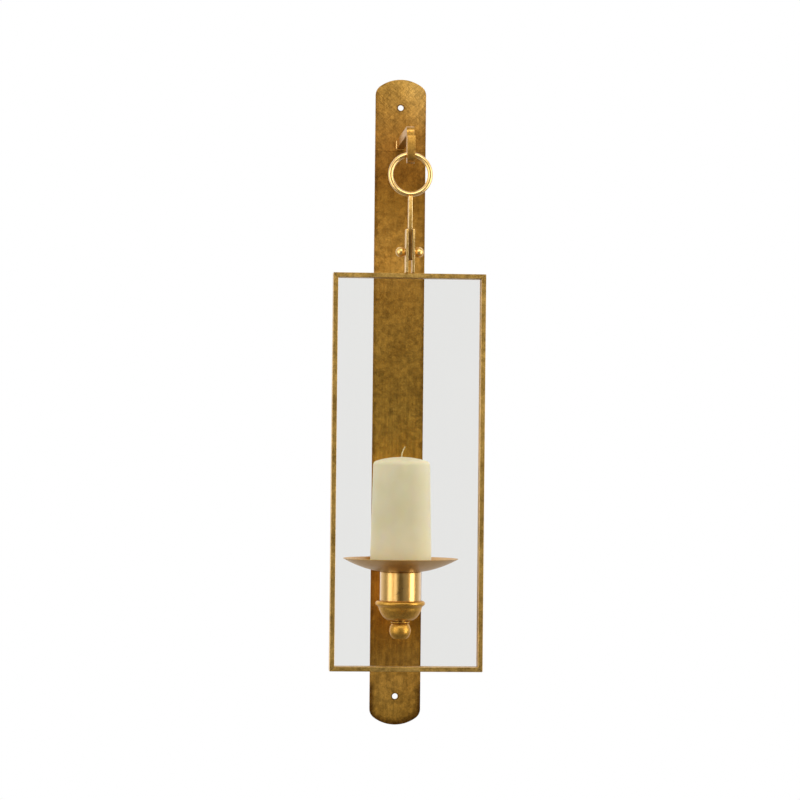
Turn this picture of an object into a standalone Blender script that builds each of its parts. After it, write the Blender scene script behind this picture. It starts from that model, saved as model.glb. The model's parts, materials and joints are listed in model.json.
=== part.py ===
"""Wall sconce candle holder with a hanging glass screen.

A flat metal backplate screws to a wall.  A hooked arm near its top carries a ring and
stem, from which a slim glazed frame hangs on a cross pin in front of the candle.  Lower
down a support arm carries a drip dish, cup, bowl and ball finial, all clamped by one
vertical tie rod, with a pillar candle on a spike above the dish.

Metres.  +X is to the right, +Y runs into the wall, +Z is up.  The origin is the centre
of the backplate's rear face.  Depths from the wall are written as positive distances
and become negative Y.
"""
import math

import bmesh
import bpy
from mathutils import Matrix, Vector

COLLECTION_NAME = "wall_sconce"

# Clearance between pieces that touch, and how far a cutter runs past the surface it cuts
GAP = 0.0003
OVERCUT = 0.002

# Backplate
PLATE_LENGTH = 0.730
PLATE_WIDTH = 0.0574
PLATE_THICKNESS = 0.004
PLATE_END_RADIUS = 0.040
PLATE_CORNER_RADIUS = 0.012
WALL_SCREW_HOLE_DIAMETER = 0.0065
WALL_SCREW_HOLE_INSET = 0.032

# Tenons that join the two arms to the backplate
TENON_RECESS = 0.0005
TENON_SHOULDER = 0.001

# Hook arm, placed from the plate's upper end; its mouth takes the ring's wire
HOOK_ARM_BELOW_TOP = 0.074
HOOK_ARM_WIDTH = 0.0084
HOOK_ARM_HEIGHT = 0.010
HOOK_BAR_THICKNESS = 0.0065
HOOK_MOUTH_CLEARANCE = 0.0025
HOOK_TROUGH_DROP = 0.030
HOOK_TIP_HEIGHT = 0.023
HOOK_OUTER_CORNER_RADIUS = 0.007
HOOK_INNER_CORNER_RADIUS = 0.004
HOOK_EDGE_ROUNDING = 0.0012
HOOK_TROUGH_ROUNDING = 0.0024

# Hanger ring and its flat stem
RING_OUTER_DIAMETER = 0.0485
RING_WIRE_DIAMETER = 0.0055
RING_REST_GAP = 0.0005
STEM_WIDTH = 0.004
STEM_DEPTH = 0.014
STEM_SEAT = 0.001
STEM_CORNER_RADIUS = 0.002
PIN_BELOW_RING = 0.0598
TANG_BELOW_PIN = 0.0087

# Clevis and cross pin
EAR_THICKNESS = 0.0022
EAR_DEPTH = 0.022
EAR_ABOVE_PIN = 0.0246
EAR_CORNER_RADIUS = 0.0015
EAR_SIDE_CLEARANCE = 0.0004
RAIL_BELOW_PIN = 0.0235
PIN_DIAMETER = 0.004
KNOB_DIAMETER = 0.0112
KNOB_NECK_DIAMETER = 0.0078
KNOB_NECK_LENGTH = 0.0009
KNOB_LENGTH = 0.0104
PIN_GRIP_IN_KNOB = 0.006

# Screen frame, glass and glazing beads
FRAME_WIDTH = 0.165
FRAME_HEIGHT = 0.429
FRAME_BAR_WIDTH = 0.005
FRAME_BAR_DEPTH = 0.020
REBATE_WIDTH = 0.0025
GLASS_THICKNESS = 0.003
FRAME_EDGE_ROUNDING = 0.0004

# Support arm and tie rod
SUPPORT_ARM_WIDTH = 0.014
SUPPORT_ARM_HEIGHT = 0.008
SUPPORT_TENON_SHOULDER = 0.002
ROD_DIAMETER = 0.006

# Drip dish, placed from the plate's lower end and sized round the candle's base
DISH_RIM_ABOVE_PLATE_END = 0.190
DISH_WELL_WIDTH = 0.02965
DISH_FLAT_INSET = 0.00935
DISH_DEPTH = 0.0145
DISH_FLARE_BULGE = 0.0019
DISH_SHEET = 0.0015
DISH_TO_PLATE_CLEARANCE = 0.004
DISH_TO_SCREEN_CLEARANCE = 0.013

# Candle cup
CUP_DIAMETER = 0.0454
CUP_HEIGHT = 0.0327
CUP_WALL = 0.002
CUP_TOP_THICKNESS = 0.003
CUP_BOSS_DIAMETER = 0.016
CUP_BOSS_HEIGHT = 0.002
CUP_EDGE_ROUNDING = 0.0006
NUT_ACROSS_FLATS = 0.010
NUT_THICKNESS = 0.005

# Bowl under the cup; overhangs and land are measured from the cup's outside, angles in degrees
BOWL_BEAD_OVERHANG = 0.0047
BOWL_BEAD_THICKNESS = 0.0058
BOWL_BEAD_START = 118
BOWL_BEAD_END = -65
BOWL_SPHERE_OVERHANG = 0.002
BOWL_SPHERE_START = 3
BOWL_HEIGHT = 0.0213
BOWL_SEAT_DEPTH = 0.0008
BOWL_LAND_WIDTH = 0.0032
BOWL_WALL = 0.0025
BOWL_FLOOR = 0.003
BOWL_FOOT_ROUNDING = 0.0008

# Finial
COLLAR_NECK_DIAMETER = 0.014
COLLAR_NECK_HEIGHT = 0.001
COLLAR_DIAMETER = 0.0207
COLLAR_DISC_THICKNESS = 0.0023
BALL_DIAMETER = 0.0237
BALL_TOP_CUT = 0.0077
BALL_BOTTOM_CUT = 0.0089
ROD_GRIP_IN_BALL = 0.011

# Pricket, the flanged spike that clamps the dish and holds the candle
PRICKET_FLANGE_INSET = 0.005
PRICKET_FLANGE_THICKNESS = 0.0032
PRICKET_BOSS_DIAMETER = 0.011
PRICKET_BOSS_HEIGHT = 0.006
PRICKET_BOSS_CHAMFER = 0.0015
PRICKET_SPIKE_ROOT_DIAMETER = 0.0079
PRICKET_SPIKE_HEIGHT = 0.028
PRICKET_TIP_DIAMETER = 0.001
ROD_GRIP_IN_PRICKET = 0.007

# Candle and wick
CANDLE_HEIGHT = 0.1214
CANDLE_BASE_DIAMETER = 0.0687
CANDLE_TAPER = 0.0031
CANDLE_DOME_HEIGHT = 0.0040
CANDLE_SHOULDER_RADIUS = 0.0055
CANDLE_SHOULDER_START = 75
CANDLE_SHOULDER_END = 8
CANDLE_BASE_ROUNDING = 0.001
CANDLE_LIFT_CLEARANCE = 0.0004
WICK_DIAMETER = 0.0016
WICK_LENGTH = 0.011
WICK_LEAN = 0.0036
WICK_SEAT = 0.0035
WICK_STRAIGHT = 0.0005

# Facets round a full turn
LARGE_STEPS = 44
MEDIUM_STEPS = 36
BALL_STEPS = 28
SMALL_STEPS = 20
HOLE_STEPS = 16

# Colours (linear RGB), roughness and metallic value of each finish
GILT = ((0.40, 0.22, 0.045), 0.35, 1.0)
GILT_DARK = ((0.24, 0.13, 0.025), 0.45, 1.0)
STEEL = ((0.35, 0.33, 0.30), 0.4, 1.0)
GLASS = ((0.85, 0.87, 0.88), 0.02, 0.0)
WAX = ((0.80, 0.72, 0.47), 0.5, 0.0)
WICK_COTTON = ((0.62, 0.52, 0.30), 0.9, 0.0)

# Sizes that follow the candle and the cup
CANDLE_BASE_RADIUS = CANDLE_BASE_DIAMETER / 2
DISH_RIM_RADIUS = CANDLE_BASE_RADIUS + DISH_WELL_WIDTH
DISH_FLAT_RADIUS = CANDLE_BASE_RADIUS - DISH_FLAT_INSET
PRICKET_FLANGE_RADIUS = DISH_FLAT_RADIUS - PRICKET_FLANGE_INSET
CUP_RADIUS = CUP_DIAMETER / 2
BOWL_BEAD_DIAMETER = CUP_DIAMETER + 2 * BOWL_BEAD_OVERHANG
BOWL_SPHERE_RADIUS = CUP_RADIUS + BOWL_SPHERE_OVERHANG
BOWL_LAND_INNER_RADIUS = CUP_RADIUS - BOWL_LAND_WIDTH

# Distances from the wall to the candle's axis and to the line on which the screen hangs
CANDLE_AXIS_DEPTH = PLATE_THICKNESS + DISH_TO_PLATE_CLEARANCE + DISH_RIM_RADIUS
DISH_FRONT_DEPTH = CANDLE_AXIS_DEPTH + DISH_RIM_RADIUS
HANG_DEPTH = DISH_FRONT_DEPTH + DISH_TO_SCREEN_CLEARANCE + FRAME_BAR_DEPTH / 2

# Heights worked out from the driving dimensions
HOOK_ARM_Z = PLATE_LENGTH / 2 - HOOK_ARM_BELOW_TOP
TROUGH_RADIUS = (RING_WIRE_DIAMETER + HOOK_MOUTH_CLEARANCE) / 2
TROUGH_Z = HOOK_ARM_Z - HOOK_TROUGH_DROP
RING_WIRE_RADIUS = RING_WIRE_DIAMETER / 2
RING_MEAN_RADIUS = (RING_OUTER_DIAMETER - RING_WIRE_DIAMETER) / 2
RING_CENTRE_Z = TROUGH_Z + RING_REST_GAP + RING_WIRE_RADIUS - RING_MEAN_RADIUS
RING_BOTTOM_Z = RING_CENTRE_Z - RING_OUTER_DIAMETER / 2
PIN_Z = RING_BOTTOM_Z - PIN_BELOW_RING
FRAME_TOP_Z = PIN_Z - RAIL_BELOW_PIN
FRAME_CENTRE_Z = FRAME_TOP_Z - FRAME_HEIGHT / 2
EAR_INNER_X = STEM_WIDTH / 2 + EAR_SIDE_CLEARANCE
EAR_OUTER_X = EAR_INNER_X + EAR_THICKNESS

DISH_RIM_Z = DISH_RIM_ABOVE_PLATE_END - PLATE_LENGTH / 2
DISH_BOTTOM_Z = DISH_RIM_Z - DISH_DEPTH
CUP_TOP_Z = DISH_BOTTOM_Z - GAP
CUP_BOTTOM_Z = CUP_TOP_Z - CUP_HEIGHT
SUPPORT_ARM_TOP_Z = CUP_TOP_Z - CUP_TOP_THICKNESS - CUP_BOSS_HEIGHT - GAP
SUPPORT_ARM_Z = SUPPORT_ARM_TOP_Z - SUPPORT_ARM_HEIGHT / 2
NUT_TOP_Z = SUPPORT_ARM_TOP_Z - SUPPORT_ARM_HEIGHT - GAP
BOWL_TOP_Z = CUP_BOTTOM_Z - GAP + BOWL_SEAT_DEPTH
BOWL_BOTTOM_Z = BOWL_TOP_Z - BOWL_HEIGHT
COLLAR_TOP_Z = BOWL_BOTTOM_Z - GAP
COLLAR_BOTTOM_Z = COLLAR_TOP_Z - COLLAR_NECK_HEIGHT - COLLAR_DISC_THICKNESS
BALL_CENTRE_Z = COLLAR_BOTTOM_Z - GAP - BALL_TOP_CUT
ROD_HOLE_RADIUS = ROD_DIAMETER / 2 + GAP
ROD_BOTTOM_Z = BALL_CENTRE_Z + BALL_TOP_CUT - ROD_GRIP_IN_BALL
PRICKET_BASE_Z = DISH_BOTTOM_Z + DISH_SHEET + GAP
ROD_TOP_Z = PRICKET_BASE_Z + ROD_GRIP_IN_PRICKET
CANDLE_BASE_Z = PRICKET_BASE_Z + PRICKET_FLANGE_THICKNESS + GAP
CANDLE_TOP_Z = CANDLE_BASE_Z + CANDLE_HEIGHT

# World position of each body's pivot; every object is parented to one of these empties.
# The hanger turns about the ring's centre, as the ring slides round in the trough.
PIVOTS = {
    "wall_bracket": Vector((0, 0, 0)),
    "hanger": Vector((0, -HANG_DEPTH, RING_CENTRE_Z)),
    "glass_frame": Vector((0, -HANG_DEPTH, PIN_Z)),
    "candle_body": Vector((0, -CANDLE_AXIS_DEPTH, CANDLE_BASE_Z)),
}
PIVOT_PARENTS = {"hanger": "wall_bracket", "glass_frame": "hanger", "candle_body": "wall_bracket"}

# Local axes for outlines: (across, along, normal) as world directions
SIDE_VIEW = Matrix(((0, 0, -1), (-1, 0, 0), (0, 1, 0)))
FRONT_VIEW = Matrix(((1, 0, 0), (0, 0, -1), (0, 1, 0)))
PLAN_VIEW = Matrix(((0, 1, 0), (-1, 0, 0), (0, 0, 1)))


def clear_scene():
    for obj in list(bpy.data.objects):
        bpy.data.objects.remove(obj)


def add_collection(name):
    collection = bpy.data.collections.new(name)
    bpy.context.scene.collection.children.link(collection)
    return collection


def add_material(name, finish):
    colour, roughness, metallic = finish
    material = bpy.data.materials.new(name)
    material.use_nodes = True
    shader = material.node_tree.nodes["Principled BSDF"]
    shader.inputs["Base Color"].default_value = (*colour, 1.0)
    shader.inputs["Roughness"].default_value = roughness
    shader.inputs["Metallic"].default_value = metallic
    return material


def add_pivots(collection):
    """One empty per moving body, each on its joint's axis."""
    empties = {}
    for body, place in PIVOTS.items():
        empty = bpy.data.objects.new(body + "_pivot", None)
        collection.objects.link(empty)
        parent = PIVOT_PARENTS.get(body)
        if parent:
            empty.parent = empties[parent]
            empty.location = place - PIVOTS[parent]
        empties[body] = empty
    return empties


class Sconce:
    """Adds finished pieces to the part's collection and hangs them on their body."""

    def __init__(self):
        self.parts = add_collection(COLLECTION_NAME)
        self.cutters = add_collection("cutters")
        self.empties = add_pivots(self.parts)

    def add(self, name, mesh, finish, body="wall_bracket", origin=None):
        """Wrap a mesh as one part of a body.

        The mesh is in world coordinates, or about its own origin where one is given.
        """
        mesh.name = name
        obj = bpy.data.objects.new(name, mesh)
        mesh.materials.append(add_material(name, finish))
        self.parts.objects.link(obj)
        obj.parent = self.empties[body]
        if origin is None:
            mesh.transform(Matrix.Translation(-PIVOTS[body]))
        else:
            obj.location = Vector(origin) - PIVOTS[body]
        return obj

    def cut(self, obj, mesh):
        """Subtract a mesh in world coordinates from a part."""
        cutter = bpy.data.objects.new(obj.name + "_cutter", mesh)
        cutter.hide_render = True
        cutter.display_type = "WIRE"
        self.cutters.objects.link(cutter)
        boolean = obj.modifiers.new("Cut", "BOOLEAN")
        boolean.operation = "DIFFERENCE"
        boolean.solver = "EXACT"
        boolean.object = cutter


# ---------------------------------------------------------------- mesh helpers


def mesh_from(work):
    mesh = bpy.data.meshes.new("shape")
    work.to_mesh(mesh)
    work.free()
    return mesh


def smooth(mesh, angle=35):
    mesh.shade_smooth()
    mesh.set_sharp_from_angle(angle=math.radians(angle))
    return mesh


def box_mesh(low, high):
    low, high = Vector(low), Vector(high)
    work = bmesh.new()
    bmesh.ops.create_cube(work, size=1.0)
    bmesh.ops.scale(work, vec=high - low, verts=work.verts)
    bmesh.ops.translate(work, vec=(low + high) / 2, verts=work.verts)
    return mesh_from(work)


def cylinder_mesh(radius, start, end, steps=HOLE_STEPS):
    """A capped cylinder between two points, with one facet's flat facing down."""
    start, end = Vector(start), Vector(end)
    axis = end - start
    work = bmesh.new()
    bmesh.ops.create_cone(
        work, cap_ends=True, segments=steps, radius1=radius, radius2=radius, depth=axis.length
    )
    turn = Vector((0, 0, 1)).rotation_difference(axis).to_matrix().to_4x4()
    bmesh.ops.transform(work, matrix=Matrix.Translation((start + end) / 2) @ turn, verts=work.verts)
    return smooth(mesh_from(work))


def arc(centre, radius, start, end, steps):
    """Points on an arc in a plane; angles in degrees, both ends included."""
    points = []
    for step in range(steps + 1):
        angle = math.radians(start + (end - start) * step / steps)
        points.append(
            (centre[0] + radius * math.cos(angle), centre[1] + radius * math.sin(angle))
        )
    return points


def circle(centre, radius, steps=HOLE_STEPS):
    return arc(centre, radius, 0, 360, steps)[:-1]


def rectangle(low, high):
    return [low, (high[0], low[1]), high, (low[0], high[1])]


def rounded_rectangle(low, high, radius, steps=3):
    """Corner arcs in order from the right end of the bottom edge, anticlockwise."""
    corners = (
        (high[0] - radius, low[1] + radius, -90),
        (high[0] - radius, high[1] - radius, 0),
        (low[0] + radius, high[1] - radius, 90),
        (low[0] + radius, low[1] + radius, 180),
    )
    points = []
    for across, along, start in corners:
        points += arc((across, along), radius, start, start + 90, steps)
    return points


def outline_mesh(loops, thickness, axes, origin=(0, 0, 0)):
    """Extrude closed loops, the first one solid and the rest holes in it.

    The thickness is centred on the origin, and axes turns the drawing into place.
    """
    curve = bpy.data.curves.new("outline", "CURVE")
    curve.dimensions = "2D"
    curve.fill_mode = "BOTH"
    curve.extrude = thickness / 2
    for loop in loops:
        spline = curve.splines.new("POLY")
        spline.points.add(len(loop) - 1)
        for point, (across, along) in zip(spline.points, loop):
            point.co = (across, along, 0, 1)
        spline.use_cyclic_u = True
    drawing = bpy.data.objects.new("outline", curve)
    bpy.context.scene.collection.objects.link(drawing)
    drawing.matrix_world = Matrix.Translation(origin) @ axes.to_4x4()
    bpy.context.view_layer.update()
    evaluated = drawing.evaluated_get(bpy.context.evaluated_depsgraph_get())
    mesh = bpy.data.meshes.new_from_object(evaluated)
    mesh.transform(drawing.matrix_world)
    bpy.data.objects.remove(drawing)
    bpy.data.curves.remove(curve)
    work = bmesh.new()
    work.from_mesh(mesh)
    bmesh.ops.remove_doubles(work, verts=work.verts, dist=1e-6)
    bmesh.ops.recalc_face_normals(work, faces=work.faces)
    work.to_mesh(mesh)
    work.free()
    return mesh


def torus_mesh(mean_radius, wire_radius, centre, steps, wire_steps):
    """A ring that stands in the plane of the wall."""
    bpy.ops.mesh.primitive_torus_add(
        major_radius=mean_radius,
        minor_radius=wire_radius,
        major_segments=steps,
        minor_segments=wire_steps,
        location=(0, 0, 0),
    )
    ring = bpy.context.object
    mesh = ring.data
    bpy.data.objects.remove(ring)
    mesh.transform(Matrix.Translation(centre) @ Matrix.Rotation(math.radians(90), 4, "X"))
    return smooth(mesh, 60)


def profile_mesh(profile, closed):
    """Edges of a turned piece's profile; (radius, height) pairs, down the outer side."""
    work = bmesh.new()
    verts = [work.verts.new((radius, 0, height)) for radius, height in profile]
    for first, second in zip(verts, verts[1:]):
        work.edges.new((first, second))
    if closed:
        work.edges.new((verts[-1], verts[0]))
    return mesh_from(work)


def turn_profile(obj, steps):
    """Revolve a part's profile about its own Z axis."""
    screw = obj.modifiers.new("Turn", "SCREW")
    screw.steps = steps
    screw.render_steps = steps
    screw.use_merge_vertices = True
    screw.merge_threshold = 0.00001
    screw.use_smooth_shade = True


def add_turned(sconce, name, profile, finish, steps, body="wall_bracket", closed=True):
    """A turned piece on the candle axis, from a profile in world heights."""
    foot_of_axis = (0, -CANDLE_AXIS_DEPTH, 0)
    obj = sconce.add(name, profile_mesh(profile, closed), finish, body, foot_of_axis)
    turn_profile(obj, steps)
    return obj


def round_edges(obj, width, segments=1, angle=40):
    bevel = obj.modifiers.new("Rounded edges", "BEVEL")
    bevel.width = width
    bevel.segments = segments
    bevel.limit_method = "ANGLE"
    bevel.angle_limit = math.radians(angle)


# ---------------------------------------------------------------- wall bracket


def plate_outline():
    """Straight sides with a shallow arc at each end, blended by small corner arcs."""
    half_width = PLATE_WIDTH / 2
    centre_z = PLATE_LENGTH / 2 - PLATE_END_RADIUS
    corner_x = half_width - PLATE_CORNER_RADIUS
    corner_rise = math.sqrt((PLATE_END_RADIUS - PLATE_CORNER_RADIUS) ** 2 - corner_x**2)
    join = math.degrees(math.atan2(corner_rise, corner_x))
    corner_z = centre_z + corner_rise
    top = arc((corner_x, corner_z), PLATE_CORNER_RADIUS, 0, join, steps=5)
    top += arc((0, centre_z), PLATE_END_RADIUS, join, 180 - join, steps=20)[1:-1]
    top += arc((-corner_x, corner_z), PLATE_CORNER_RADIUS, 180 - join, 180, steps=5)
    bottom = [(-across, -along) for across, along in top]
    return top + bottom


def add_backplate(sconce):
    hole_z = PLATE_LENGTH / 2 - WALL_SCREW_HOLE_INSET
    hook_x = HOOK_ARM_WIDTH / 2 + GAP
    hook_half = HOOK_ARM_HEIGHT / 2 - TENON_SHOULDER + GAP
    arm_x = SUPPORT_ARM_WIDTH / 2 - SUPPORT_TENON_SHOULDER + GAP
    arm_half = SUPPORT_ARM_HEIGHT / 2 + GAP
    loops = [
        plate_outline(),
        circle((0, hole_z), WALL_SCREW_HOLE_DIAMETER / 2),
        circle((0, -hole_z), WALL_SCREW_HOLE_DIAMETER / 2),
        rectangle((-hook_x, HOOK_ARM_Z - hook_half), (hook_x, HOOK_ARM_Z + hook_half)),
        rectangle((-arm_x, SUPPORT_ARM_Z - arm_half), (arm_x, SUPPORT_ARM_Z + arm_half)),
    ]
    mesh = outline_mesh(loops, PLATE_THICKNESS, FRONT_VIEW, (0, -PLATE_THICKNESS / 2, 0))
    sconce.add("backplate", smooth(mesh), GILT)


def hook_outline():
    """Side view of the arm, its drop, the trough and the upturned tip."""
    shoulder = PLATE_THICKNESS + GAP
    half_height = HOOK_ARM_HEIGHT / 2
    tenon_half = half_height - TENON_SHOULDER
    outer_radius = TROUGH_RADIUS + HOOK_BAR_THICKNESS
    drop_back = HANG_DEPTH - outer_radius
    drop_front = HANG_DEPTH - TROUGH_RADIUS
    tip_back = HANG_DEPTH + TROUGH_RADIUS
    tip_front = HANG_DEPTH + outer_radius
    arm_low = HOOK_ARM_Z - half_height
    arm_high = HOOK_ARM_Z + half_height
    bend_z = TROUGH_Z + TROUGH_RADIUS
    tip_z = TROUGH_Z + HOOK_TIP_HEIGHT
    inner = HOOK_INNER_CORNER_RADIUS
    outer = HOOK_OUTER_CORNER_RADIUS
    points = [
        (TENON_RECESS, HOOK_ARM_Z - tenon_half),
        (shoulder, HOOK_ARM_Z - tenon_half),
        (shoulder, arm_low),
    ]
    points += arc((drop_back - inner, arm_low - inner), inner, 90, 0, steps=5)
    points += arc((HANG_DEPTH, bend_z), outer_radius, 180, 360, steps=16)
    points += [(tip_front, tip_z), (tip_back, tip_z)]
    points += arc((HANG_DEPTH, bend_z), TROUGH_RADIUS, 360, 180, steps=14)
    points += arc((drop_front - outer, arm_high - outer), outer, 0, 90, steps=7)
    points += [
        (shoulder, arm_high),
        (shoulder, HOOK_ARM_Z + tenon_half),
        (TENON_RECESS, HOOK_ARM_Z + tenon_half),
    ]
    return points


def weight_hook_edges(mesh):
    """Bevel weights: full on the trough's inner edges, less on the others, none at the root."""
    trough = Vector((0, -HANG_DEPTH, TROUGH_Z + TROUGH_RADIUS))
    weights = mesh.attributes.new("bevel_weight_edge", "FLOAT", "EDGE")
    normals = {}
    for face in mesh.polygons:
        for key in face.edge_keys:
            normals.setdefault(key, []).append(face.normal)
    for edge in mesh.edges:
        first, second = (mesh.vertices[index].co for index in edge.vertices)
        middle = (first + second) / 2
        one, other = normals[edge.key]
        is_gentle = one.dot(other) > math.cos(math.radians(60))
        if is_gentle or -middle.y < PLATE_THICKNESS + 2 * GAP:
            continue
        reach = math.hypot(middle.y - trough.y, middle.z - trough.z)
        in_trough = reach < TROUGH_RADIUS + GAP and middle.z < trough.z
        weights.data[edge.index].value = (
            1.0 if in_trough else HOOK_EDGE_ROUNDING / HOOK_TROUGH_ROUNDING
        )


def add_hook_arm(sconce):
    mesh = outline_mesh([hook_outline()], HOOK_ARM_WIDTH, SIDE_VIEW)
    weight_hook_edges(mesh)
    hook = sconce.add("hook_arm", smooth(mesh), GILT)
    bevel = hook.modifiers.new("Rounded edges", "BEVEL")
    bevel.width = HOOK_TROUGH_ROUNDING
    bevel.segments = 3
    bevel.limit_method = "WEIGHT"


def add_support_arm(sconce):
    """A flat bar, tenoned into the plate and drilled for the tie rod at its round end."""
    half_width = SUPPORT_ARM_WIDTH / 2
    tenon_half = half_width - SUPPORT_TENON_SHOULDER
    shoulder = PLATE_THICKNESS + GAP
    outline = [
        (TENON_RECESS, -tenon_half),
        (shoulder, -tenon_half),
        (shoulder, -half_width),
    ]
    outline += arc((CANDLE_AXIS_DEPTH, 0), half_width, -90, 90, steps=12)
    outline += [(shoulder, half_width), (shoulder, tenon_half), (TENON_RECESS, tenon_half)]
    hole = circle((CANDLE_AXIS_DEPTH, 0), ROD_HOLE_RADIUS)
    mesh = outline_mesh(
        [outline, hole], SUPPORT_ARM_HEIGHT, PLAN_VIEW, (0, 0, SUPPORT_ARM_Z)
    )
    sconce.add("support_arm", smooth(mesh), GILT)


# ---------------------------------------------------------------- candle holder


def flare(start, end, bulge, steps):
    """Points on a shallow arc between two points, bowed downwards by bulge."""
    points = []
    for step in range(steps + 1):
        share = step / steps
        rise = 4 * bulge * share * (1 - share)
        radius = start[0] + (end[0] - start[0]) * share
        height = start[1] + (end[1] - start[1]) * share - rise
        points.append((radius, height))
    return points


def add_drip_dish(sconce):
    """A spun sheet saucer: flat centre, gently bowed flare and a thinned rim."""
    floor_z = DISH_BOTTOM_Z + DISH_SHEET
    rim = DISH_SHEET / 3
    rim_under = (DISH_RIM_RADIUS, DISH_RIM_Z - rim)
    rim_over = (DISH_RIM_RADIUS - rim, DISH_RIM_Z)
    under = flare(rim_under, (DISH_FLAT_RADIUS, DISH_BOTTOM_Z), DISH_FLARE_BULGE, steps=6)
    over = flare((DISH_FLAT_RADIUS, floor_z), rim_over, DISH_FLARE_BULGE, steps=6)
    profile = under + [(ROD_HOLE_RADIUS, DISH_BOTTOM_Z), (ROD_HOLE_RADIUS, floor_z)] + over
    add_turned(sconce, "drip_dish", profile, GILT, LARGE_STEPS)


def add_candle_cup(sconce):
    """A drawn cup, open below, slotted at the back for the support arm."""
    radius = CUP_RADIUS
    inner = radius - CUP_WALL
    edge = CUP_EDGE_ROUNDING
    under_z = CUP_TOP_Z - CUP_TOP_THICKNESS
    boss_z = under_z - CUP_BOSS_HEIGHT
    boss = CUP_BOSS_DIAMETER / 2
    profile = [(ROD_HOLE_RADIUS, CUP_TOP_Z)]
    profile += arc((radius - edge, CUP_TOP_Z - edge), edge, 90, 0, steps=2)
    profile += [(radius, CUP_BOTTOM_Z), (inner, CUP_BOTTOM_Z), (inner, under_z)]
    profile += [(boss, under_z), (boss, boss_z), (ROD_HOLE_RADIUS, boss_z)]
    cup = add_turned(sconce, "candle_cup", profile, GILT, MEDIUM_STEPS)
    slot_x = SUPPORT_ARM_WIDTH / 2 + GAP
    slot_z = SUPPORT_ARM_HEIGHT / 2 + GAP
    slot_back = -(CANDLE_AXIS_DEPTH - radius - OVERCUT)
    slot_front = -(CANDLE_AXIS_DEPTH - inner + 2 * OVERCUT)
    slot = box_mesh(
        (-slot_x, slot_front, SUPPORT_ARM_Z - slot_z), (slot_x, slot_back, SUPPORT_ARM_Z + slot_z)
    )
    sconce.cut(cup, slot)


def add_cup_bowl(sconce):
    """A turned bowl with a rolled bead, and a recess in which the cup seats."""
    bead = BOWL_BEAD_THICKNESS / 2
    bead_centre = (BOWL_BEAD_DIAMETER / 2 - bead, BOWL_TOP_Z - bead)
    seat_z = BOWL_TOP_Z - BOWL_SEAT_DEPTH
    seat_radius = CUP_RADIUS + GAP
    floor_z = BOWL_BOTTOM_Z + BOWL_FLOOR
    sphere_z = BOWL_TOP_Z - 2 * bead / 3
    join = math.degrees(math.asin((sphere_z - (BOWL_TOP_Z - 2 * bead)) / BOWL_SPHERE_RADIUS))
    foot = math.degrees(math.asin((sphere_z - BOWL_BOTTOM_Z) / BOWL_SPHERE_RADIUS))
    inner_radius = BOWL_SPHERE_RADIUS - BOWL_WALL
    inner_foot = math.degrees(math.asin((sphere_z - floor_z) / inner_radius))
    inner_join = math.degrees(math.acos(BOWL_LAND_INNER_RADIUS / inner_radius))
    profile = [(BOWL_LAND_INNER_RADIUS, seat_z), (seat_radius, seat_z)]
    profile += arc(bead_centre, bead, BOWL_BEAD_START, BOWL_BEAD_END, steps=7)
    sphere_start = -join - BOWL_SPHERE_START
    body = arc((0, sphere_z), BOWL_SPHERE_RADIUS, sphere_start, -foot, steps=5)
    profile += body[:-1]
    foot_radius = body[-1][0]
    profile += [
        (foot_radius + BOWL_FOOT_ROUNDING / 3, BOWL_BOTTOM_Z + BOWL_FOOT_ROUNDING),
        (foot_radius - BOWL_FOOT_ROUNDING, BOWL_BOTTOM_Z),
        (ROD_HOLE_RADIUS, BOWL_BOTTOM_Z),
        (ROD_HOLE_RADIUS, floor_z),
    ]
    profile += arc((0, sphere_z), inner_radius, -inner_foot, -inner_join, steps=4)
    add_turned(sconce, "cup_bowl", profile, GILT, MEDIUM_STEPS)


def add_finial(sconce):
    """A collar disc on a short neck, then a ball with flats at both poles."""
    disc = COLLAR_DIAMETER / 2
    disc_z = COLLAR_TOP_Z - COLLAR_NECK_HEIGHT
    edge = COLLAR_DISC_THICKNESS / 2
    neck = COLLAR_NECK_DIAMETER / 2
    profile = [(ROD_HOLE_RADIUS, COLLAR_TOP_Z), (neck, COLLAR_TOP_Z), (neck, disc_z)]
    profile += arc((disc - edge, disc_z - edge), edge, 90, -90, steps=6)
    profile += [(ROD_HOLE_RADIUS, COLLAR_BOTTOM_Z)]
    add_turned(sconce, "finial_collar", profile, GILT, BALL_STEPS)

    radius = BALL_DIAMETER / 2
    top = math.degrees(math.asin(BALL_TOP_CUT / radius))
    bottom = math.degrees(math.asin(BALL_BOTTOM_CUT / radius))
    hole_end = ROD_BOTTOM_Z - 2 * GAP
    profile = [(0, hole_end), (ROD_HOLE_RADIUS, hole_end)]
    profile += [(ROD_HOLE_RADIUS, BALL_CENTRE_Z + BALL_TOP_CUT)]
    profile += arc((0, BALL_CENTRE_Z), radius, top, -bottom, steps=12)
    profile += [(0, BALL_CENTRE_Z - BALL_BOTTOM_CUT)]
    add_turned(sconce, "finial_ball", profile, GILT, BALL_STEPS, closed=False)


def add_tie_rod(sconce):
    """The rod that clamps the stack, and the nut that grips the support arm."""
    low = Vector((0, -CANDLE_AXIS_DEPTH, ROD_BOTTOM_Z))
    high = Vector((0, -CANDLE_AXIS_DEPTH, ROD_TOP_Z))
    sconce.add("tie_rod", cylinder_mesh(ROD_DIAMETER / 2, low, high), STEEL)
    corner_radius = NUT_ACROSS_FLATS / 2 / math.cos(math.radians(30))
    loops = [circle((CANDLE_AXIS_DEPTH, 0), corner_radius, steps=6)]
    loops.append(circle((CANDLE_AXIS_DEPTH, 0), ROD_HOLE_RADIUS))
    mesh = outline_mesh(loops, NUT_THICKNESS, PLAN_VIEW, (0, 0, NUT_TOP_Z - NUT_THICKNESS / 2))
    sconce.add("rod_nut", smooth(mesh), STEEL)


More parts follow.
